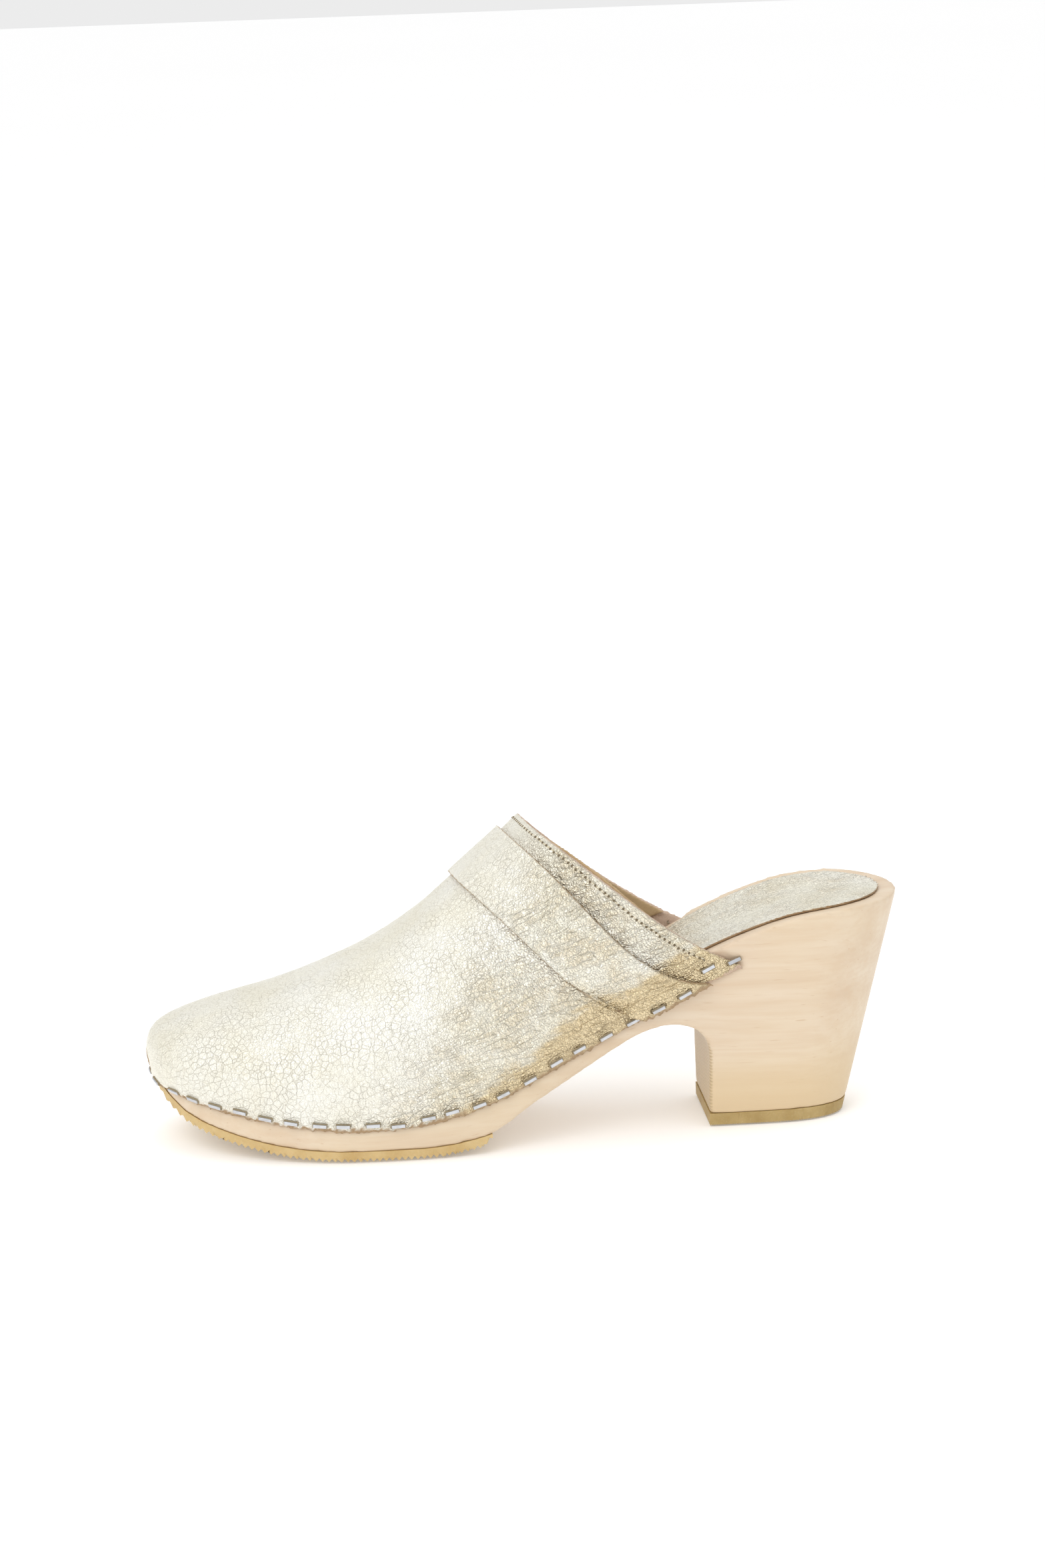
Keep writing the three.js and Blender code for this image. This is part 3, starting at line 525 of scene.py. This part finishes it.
def mark_raw(piece, thickness):
    """How raw each point is: cut edges, the flesh side and the torn lower edge show bare fibre."""
    tree = surface_of(piece)
    reach = 4 * thickness
    raw = []
    for vertex in piece.data.vertices:
        inward = -vertex.normal
        start = vertex.co + inward * 0.05 * MM  # clear of the point's own face
        hit = tree.ray_cast(start, inward, reach)
        through = hit[3] if hit[0] is not None else reach
        edge = ramp(through, 1.12 * thickness, 1.5 * thickness)
        flesh = 1.0 if (vertex.co - foot_axis(vertex.co)).dot(vertex.normal) < 0 else 0.0
        frayed = above_edge(vertex.co) + 0.9 * MM * noise.noise(vertex.co / (1.4 * MM))
        raw.append(max(edge, flesh, 1 - ramp(frayed, 1.0 * MM, 1.6 * MM)))
    return raw


def staple_names(side):
    """Staples on one side, toe to heel; side is 1 outside the foot, -1 inside it."""
    word = "staple_lateral" if side > 0 else "staple_medial"
    return ["staple_toe"] + sorted(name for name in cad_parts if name.startswith(word))


def staple_line(side):
    """Middles of the staples on one side."""
    return [(Vector(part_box(name)[0]) + Vector(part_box(name)[1])) / 2 for name in staple_names(side)]


STAPLE_LINES = {side: staple_line(side) for side in (1, -1)}
LEDGE_BELOW = 3.2 * MM  # crown middles above the cut edge of the leather


def above_edge(point):
    """Height over the lower edge of the upper, at the same place along the shoe."""
    line = STAPLE_LINES[1 if point.y > 0 else -1]
    for before, after in zip(line, line[1:-2]):
        if after.x <= point.x:
            share = min(max((before.x - point.x) / (before.x - after.x), 0.0), 1.0)
            return point.z - (before.z + share * (after.z - before.z) - LEDGE_BELOW)
    # the last two staples are left out: behind the others the line runs on straight
    before, after = line[-5], line[-3]
    slope = (after.z - before.z) / (after.x - before.x)
    return point.z - (after.z + slope * (point.x - after.x) - LEDGE_BELOW)


def flexed(point):
    """How far the skin has creased: behind a line from the ball to the strap, beside the middle."""
    line = 47 * MM - 0.66 * (point.z - 28 * MM)
    behind = ramp(line - point.x, -12 * MM, 22 * MM)
    beside = ramp(abs(point.y), 2 * MM, 16 * MM)
    return 0.12 + 0.88 * behind * beside


# creases run along the shoe and climb to the heel with the edge of the leather
CREASE_WAY = Vector((-1, 0, 0.35)).normalized()
CREASE_RISE = Vector((0.35, 0, 1)).normalized()


def along_creases(point, stretch):
    """The point in the creases' own directions, drawn out along them."""
    return Vector((point.dot(CREASE_WAY) / stretch, point.y, point.dot(CREASE_RISE)))


def deep_gold(point):
    """Painted reflection: a band of deeper gold over the lower edge of the waist, where the foil mirrors
    dim surroundings.
    """
    top = min(max((30 * MM - point.x) * 0.3, 0.0), 14.5 * MM)
    streak = along_creases(point, 4) / (2.2 * MM)
    wander = 3 * MM * noise.noise(point / (8 * MM)) + 2.6 * MM * noise.noise(streak)
    below_top = 1 - ramp(above_edge(point) - top + wander, -4 * MM, 5 * MM)
    return below_top * ramp(34 * MM - point.x, 0, 14 * MM)


def wrinkle(point, cell, stretch):
    """Wavy creases stretched along the shoe: 0 in a crease, 1 away from it."""
    spot = along_creases(point, stretch) / cell
    spot += 0.35 * noise.noise_vector(spot * 0.6)
    fine = abs(noise.noise(spot * 1.7 + Vector((7.3, 2.1, 4.7)))) * 1.5
    return min(min(abs(noise.noise(spot)), fine) * 4.5, 1.0)


STAPLED = 8 * MM  # up to this height over the lower edge the staples shape the leather
TORN = 2.2 * MM  # and up to this one the edge is torn


def work_leather(piece, thickness, extra=None, foiled=None):
    """Age a leather piece: creases, puckers between its staples, ragged cut edges.

    extra(point, normal) adds a move of its own, and foiled(point) is 1 where a cut edge has foil.
    """
    raw = mark_raw(piece, thickness)
    points = [vertex.co.copy() for vertex in piece.data.vertices]
    if foiled:
        raw = [bare * (1 - foiled(point)) for bare, point in zip(raw, points)]
    flex = [flexed(point) for point in points]
    write_mask(piece, "raw", raw)
    write_mask(piece, "flex", flex)
    # painted reflection: the band of deeper gold low on the waist
    write_mask(piece, "painted_reflection", [deep_gold(point) for point in points])
    crowns = STAPLE_LINES[1] + STAPLE_LINES[-1][1:]

    def aged(point, normal, index):
        bare, worked = raw[index], flex[index]
        broad = noise.noise(point / (12 * MM)) * 0.2 * MM
        long_crease = (wrinkle(point, 2.8 * MM, 3.6) - 1.0) * 0.26 * MM * worked
        shown = 0.35 + 0.65 * ramp(noise.noise(point / (9 * MM)), -0.25, 0.2)
        pebble = (wrinkle(point, 3.6 * MM, 1.3) - 1.0) * 0.07 * MM
        move = (broad + long_crease * shown + pebble) * (1 - bare)
        height = above_edge(point)
        if height < STAPLED:
            crown = min((point - middle).length for middle in crowns)
            free = ramp(crown, 2.2 * MM, 4.4 * MM)
            move = move * free + 0.4 * MM * free * bell(height - 2.5 * MM, 3.0 * MM) * (1 - bare)
            move += bare * 0.3 * MM * noise.noise(point / (0.8 * MM)) * bell(height, 1.6 * MM)
        move += bare * 0.16 * MM * noise.noise(point / (0.9 * MM))
        return move + extra(point, normal) if extra else move

    reshape(piece, aged)
    # the lower edge is torn into small flakes
    for vertex in piece.data.vertices:
        height = above_edge(vertex.co)
        if height < TORN:
            torn = noise.noise(Vector((vertex.co.x, vertex.co.y, 0)) / (1.3 * MM)) + 0.35
            vertex.co.z -= 0.9 * MM * torn * (1 - ramp(height, 0.2 * MM, TORN))
    piece.data.update()


def cut_vamp():
    vamp = copy_of("vamp", "leather_vamp")
    even_out(vamp, 0.78 * MM, 3)
    work_leather(vamp, 1.8 * MM)
    settle(vamp, upper_leather, "upper_leather", "vamp")


def cut_strap():
    """The strap, with its front edge skived away low down and its rear edge off the collar there."""
    strap = copy_of("instep_strap", "leather_instep_strap")
    even_out(strap, 0.5 * MM, 3)
    forward = Vector((0.95, 0, -0.3))
    edge_on = 0.75
    front, rear = (KDTree(len(strap.data.vertices)) for _ in range(2))
    for index, vertex in enumerate(strap.data.vertices):
        lean = vertex.normal.dot(forward)
        if lean > edge_on:
            front.insert(vertex.co, index)
        elif lean < -edge_on:
            rear.insert(vertex.co, index)
    front.balance()
    rear.balance()

    def fitted(point, normal):
        """Skiving lowers the face and moves the back a fifth as far; lifting moves both together."""
        height = above_edge(point)
        face = (point - foot_axis(point)).dot(normal) > 0
        near_front = 1 - ramp(front.find(point)[2], 0.3 * MM, 6 * MM)
        near_rear = 1 - ramp(rear.find(point)[2], 0, 5 * MM)
        skived = -1.2 * MM * (1 if face else -0.2) * near_front * (1 - ramp(height, 14 * MM, 30 * MM))
        lifted = 0.9 * MM * (1 if face else -1) * near_rear * bell(height - 12 * MM, 8 * MM)
        lifted *= ramp(height, 5 * MM, 10 * MM)
        return skived * ramp(height, 4 * MM, 8 * MM) + lifted

    def foiled(point):
        """The skived part of the front edge is foiled over."""
        near_front = 1 - ramp(front.find(point)[2], 0.3 * MM, 2 * MM)
        return near_front * (1 - ramp(above_edge(point), 14 * MM, 26 * MM))

    work_leather(strap, 1.4 * MM, fitted, foiled)
    settle(strap, upper_leather, "upper_leather", "instep_strap")


def cut_collar():
    collar = copy_of("collar_band", "leather_collar_band")
    even_out(collar, 0.55 * MM, 3)
    work_leather(collar, 1.8 * MM)
    return settle(collar, collar_leather, "upper_leather", "collar_band")


def cut_lining():
    lining = copy_of("collar_lining", "suede_collar_lining")
    even_out(lining, 0.5 * MM, 3)
    reshape(lining, lambda point, normal, index: 0.06 * MM * noise.noise(point / (1.2 * MM)))
    settle(lining, lining_suede, "lining_suede", "collar_lining")


def cut_sock():
    sock = copy_of("heel_sock", "leather_heel_sock")
    even_out(sock, 0.5 * MM, 3)
    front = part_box("heel_sock")[1].x
    points = sock.data.vertices
    raw = [1.0 - ramp(point.normal.z, 0.55, 0.8) for point in points]
    write_mask(sock, "raw", raw)
    write_mask(sock, "flex", [0.5 + 0.3 * noise.noise(point.co / (9 * MM)) for point in points])
    # painted shade: the sock's foil turns tan gold towards its front, where it lies in shadow
    write_mask(sock, "painted_reflection", [0.9 * ramp(point.co.x, front - 38 * MM, front) for point in points])

    def pebbled(point, normal, index):
        return (wrinkle(point, 1.7 * MM, 1.1) - 1.0) * 0.16 * MM * (1 - raw[index])

    reshape(sock, pebbled)
    settle(sock, sock_leather, "sock_leather", "heel_sock")


# ---- Rubber --------------------------------------------------------------------------------
LEVEL = 0.6  # a face whose normal has more than this in z is an upper one
GLUE_RAISE = 0.5 * MM  # closes the glue line between rubber and wood


def cut_ribs(piece, node, pitch, height):
    """Raise the upper side to the wood, and cut ribs across the underside, crests on the CAD face."""
    low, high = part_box(node)
    pick(piece)
    bpy.ops.object.mode_set(mode="EDIT")
    bpy.ops.mesh.select_all(action="SELECT")
    half = pitch / 2
    count = int((high.x - low.x) / half)
    mesh = bmesh.from_edit_mesh(piece.data)
    for step in range(1, count + 1):
        everything = mesh.verts[:] + mesh.edges[:] + mesh.faces[:]
        cut = (low.x + step * half, 0, 0)
        bmesh.ops.bisect_plane(mesh, geom=everything, plane_co=cut, plane_no=(1, 0, 0), dist=1e-7)
    under = {vertex for face in mesh.faces if face.normal.z < -LEVEL for vertex in face.verts}
    for vertex in under:
        turn = ((vertex.co.x - low.x) / pitch) % 1.0
        vertex.co.z += height * (1 - abs(2 * turn - 1))
    over = {vertex for face in mesh.faces if face.normal.z > LEVEL for vertex in face.verts}
    for vertex in over:
        vertex.co.z += GLUE_RAISE
    bmesh.update_edit_mesh(piece.data)
    bpy.ops.object.mode_set(mode="OBJECT")
    bpy.ops.object.shade_smooth_by_angle(angle=math.radians(28))


def mould_outsole():
    outsole = copy_of("forefoot_outsole", "rubber_outsole")
    cut_ribs(outsole, "forefoot_outsole", 2.05 * MM, 1.15 * MM)
    settle(outsole, outsole_rubber, "sole_rubber", "forefoot_outsole")


def mould_lift():
    lift = copy_of("heel_lift", "rubber_heel_lift")
    cut_ribs(lift, "heel_lift", 0.75 * MM, 0.35 * MM)
    settle(lift, lift_rubber, "sole_rubber", "heel_lift")


# ---- Stitching -----------------------------------------------------------------------------
SLICES = 40  # per radian of turn round the collar
PATH_DROP = 22 * MM  # the turn's centre, under the middle of the stitches
STITCH_PITCH = 2.05 * MM


def stitch_path(piece):
    """The stitched line as points from one side of the shoe to the other, and how far along each is."""
    points = [vertex.co.copy() for vertex in piece.data.vertices]
    centre = sum(points, Vector()) / len(points)
    rings = {}
    for point in points:
        turn = math.atan2(point.z - centre.z + PATH_DROP, point.y - centre.y)
        rings.setdefault(round(turn * SLICES), []).append(point)
    line = [sum(ring, Vector()) / len(ring) for _, ring in sorted(rings.items())]
    lengths = [0.0]
    for before, after in zip(line, line[1:]):
        lengths.append(lengths[-1] + (after - before).length)
    return line, lengths


def along_path(line, lengths, distance):
    """The point at a distance along the stitched line."""
    for index in range(1, len(line)):
        if lengths[index] >= distance:
            share = (distance - lengths[index - 1]) / (lengths[index] - lengths[index - 1])
            return line[index - 1].lerp(line[index], share)
    return line[-1]


def sew_collar(collar):
    """Stitches pressed into the collar along its CAD thread, and between each two a dark bead, the painted
    shade of a needle hole.
    """
    cad = copy_of("collar_stitching", "stitch_line")
    line, lengths = stitch_path(cad)
    bpy.data.objects.remove(cad)
    skin = surface_of(collar)
    bpy.ops.object.select_all(action="DESELECT")
    bpy.ops.mesh.primitive_uv_sphere_add(segments=8, ring_count=6, radius=0.5)
    bead = bpy.context.active_object.data
    for name, size, material, shift in (
        ("collar_stitches", (1.35 * MM, 0.5 * MM, 0.34 * MM), thread, 0.0),
        # painted shade: a dark bead for the shadow in each needle hole
        ("collar_needle_hole_shades", (0.85 * MM, 0.95 * MM, 0.34 * MM), hole_shade_dark, 0.5),
    ):
        row = bmesh.new()
        for number in range(int(lengths[-1] / STITCH_PITCH)):
            spot = along_path(line, lengths, (number + 0.5 + shift) * STITCH_PITCH)
            ahead = along_path(line, lengths, (number + 0.7 + shift) * STITCH_PITCH)
            near, normal, _, _ = skin.find_nearest(spot)
            way = (ahead - spot).normalized()
            across = normal.cross(way).normalized()
            turn = Matrix((way, across, normal)).transposed().to_4x4()
            stitch = bead.copy()
            seat = Matrix.Translation(near + normal * 0.02 * MM)
            stitch.transform(seat @ turn @ Matrix.Diagonal((*size, 1)))
            row.from_mesh(stitch)
            bpy.data.meshes.remove(stitch)
        piece = piece_from(row, name)
        pick(piece)
        bpy.ops.object.shade_smooth()
        settle(piece, material, "thread", "collar_stitching")
    bpy.data.meshes.remove(bead)


# ---- Staples -------------------------------------------------------------------------------
def finish_staples():
    """Steel on the staples, with their edges rounded; their CAD meshes stay as they are."""
    for name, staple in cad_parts.items():
        if not name.startswith("staple_"):
            continue
        staple.data.materials.clear()
        staple.data.materials.append(steel)
        weld = staple.modifiers.new("weld", "WELD")
        weld.merge_threshold = WELD
        rounding = staple.modifiers.new("rounding", "BEVEL")
        rounding.width = 0.16 * MM
        rounding.segments = 3
        rounding.limit_method = "ANGLE"


# painted shadow: a dark rim round each staple's crown
RIM_LONGER, RIM_WIDER = 1.09, 1.34  # a rim's size beside its staple's
RIM_DROP = 0.4 * MM  # and how much deeper it lies


def press_staples():
    """The dark rim round each crown: a painted shadow on the leather just under it."""
    rims = bmesh.new()
    for side in (1, -1):
        names = staple_names(side)
        line = STAPLE_LINES[side]
        first = 0 if side > 0 else 1  # both sides list the toe's staple, whose painted shadow is made once
        for number in range(first, len(names)):
            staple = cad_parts[names[number]]
            spots = numpy.array([vertex.co for vertex in staple.data.vertices])
            across = Vector(numpy.linalg.eigh(numpy.cov(spots.T))[1][:, 0])  # the wire's thin way
            ahead = line[min(number + 1, len(line) - 1)]
            behind = line[max(number - 1, 0)] if number else STAPLE_LINES[-side][1]
            along = (ahead - behind).normalized()
            along = (along - across * along.dot(across)).normalized()
            out = along.cross(across)
            centre = line[number]
            if out.dot(centre - foot_axis(centre)) < 0:
                out = -out
            axes = Matrix((along, across, out)).transposed()
            widen = (axes @ Matrix.Diagonal((RIM_LONGER, RIM_WIDER, 1.0)) @ axes.transposed()).to_4x4()
            rim = staple.data.copy()
            rim.transform(Matrix.Translation(centre - out * RIM_DROP) @ widen @ Matrix.Translation(-centre))
            rims.from_mesh(rim)
            bpy.data.meshes.remove(rim)
    bmesh.ops.remove_doubles(rims, verts=rims.verts, dist=WELD)
    settle(piece_from(rims, "painted_staple_shadows"), staple_shadow_dark, "staple_steel")


carve_sole()
cut_vamp()
cut_strap()
sew_collar(cut_collar())
cut_lining()
cut_sock()
mould_outsole()
mould_lift()
finish_staples()
press_staples()


# ---- Floor, light and camera ---------------------------------------------------------------
def lay_floor():
    """A wide pale floor just under the clog, with a little light of its own."""
    bpy.ops.object.select_all(action="DESELECT")
    bpy.ops.mesh.primitive_plane_add(size=12, location=(0, 0, -0.5 * MM))
    floor = bpy.context.active_object
    floor.name = "pale_floor"
    material, n, skin = new_material("pale_floor", (0.95, 0.95, 0.95))
    tone = n.noise_at(n.place(), 1.5)
    n.feed(skin, "Base Color", n.mix(tone.outputs["Fac"], (0.93, 0.93, 0.93), (0.95, 0.95, 0.95)))
    skin.inputs["Roughness"].default_value = 0.9
    skin.inputs["Emission Color"].default_value = (1, 1, 1, 1)
    skin.inputs["Emission Strength"].default_value = 0.2
    floor.data.materials.append(material)


def soft_light(name, place, target, size, power):
    """A white area light of (width, height) metres that faces its target."""
    light = bpy.data.lights.new(name, "AREA")
    light.shape = "RECTANGLE"
    light.size, light.size_y = size
    light.energy = power
    lamp = new_object(name, light)
    lamp.location = place
    lamp.rotation_euler = (Vector(target) - Vector(place)).to_track_quat("-Z", "Y").to_euler()


def set_light():
    """A bright white room, one key light over the outer side and one from above."""
    world = bpy.data.worlds.new("studio")
    bpy.context.scene.world = world
    world.use_nodes = True
    sky = world.node_tree.nodes["Background"]
    sky.inputs["Color"].default_value = (1, 1, 1, 1)
    sky.inputs["Strength"].default_value = 0.84
    soft_light("key", (0.75, 1.0, 1.25), (0.0, 0, 0.04), (1.2, 1.2), 9.5)
    soft_light("top", (-0.1, -0.2, 1.5), (0, 0, 0.04), (1.6, 1.2), 5)


def set_camera():
    """The outer side seen from a little towards the toe and above, with the shoe low in the view."""
    yaw, drop, roll, rise = (math.radians(a) for a in (5.0, 16.5, 1.8, 2.732))
    aim, distance = Vector((0.0, 4.73 * MM, 46 * MM)), 1.4
    look = Vector((-math.sin(yaw) * math.cos(drop), -math.cos(yaw) * math.cos(drop), -math.sin(drop)))
    right = Vector((-math.cos(yaw), math.sin(yaw), 0))
    up = right.cross(look)
    place = aim - look * distance
    right, up = right * math.cos(roll) - up * math.sin(roll), right * math.sin(roll) + up * math.cos(roll)
    look, up = look * math.cos(rise) + up * math.sin(rise), up * math.cos(rise) - look * math.sin(rise)
    camera = bpy.data.cameras.new("camera")
    camera.sensor_fit = "VERTICAL"
    camera.sensor_height = 36
    camera.lens = 97.5
    camera.clip_end = 30
    seat = new_object("camera", camera)
    seat.matrix_world = Matrix.Translation(place) @ Matrix((right, up, -look)).transposed().to_4x4()
    bpy.context.scene.camera = seat
    bpy.context.scene.view_settings.view_transform = "Standard"


lay_floor()
set_light()
set_camera()
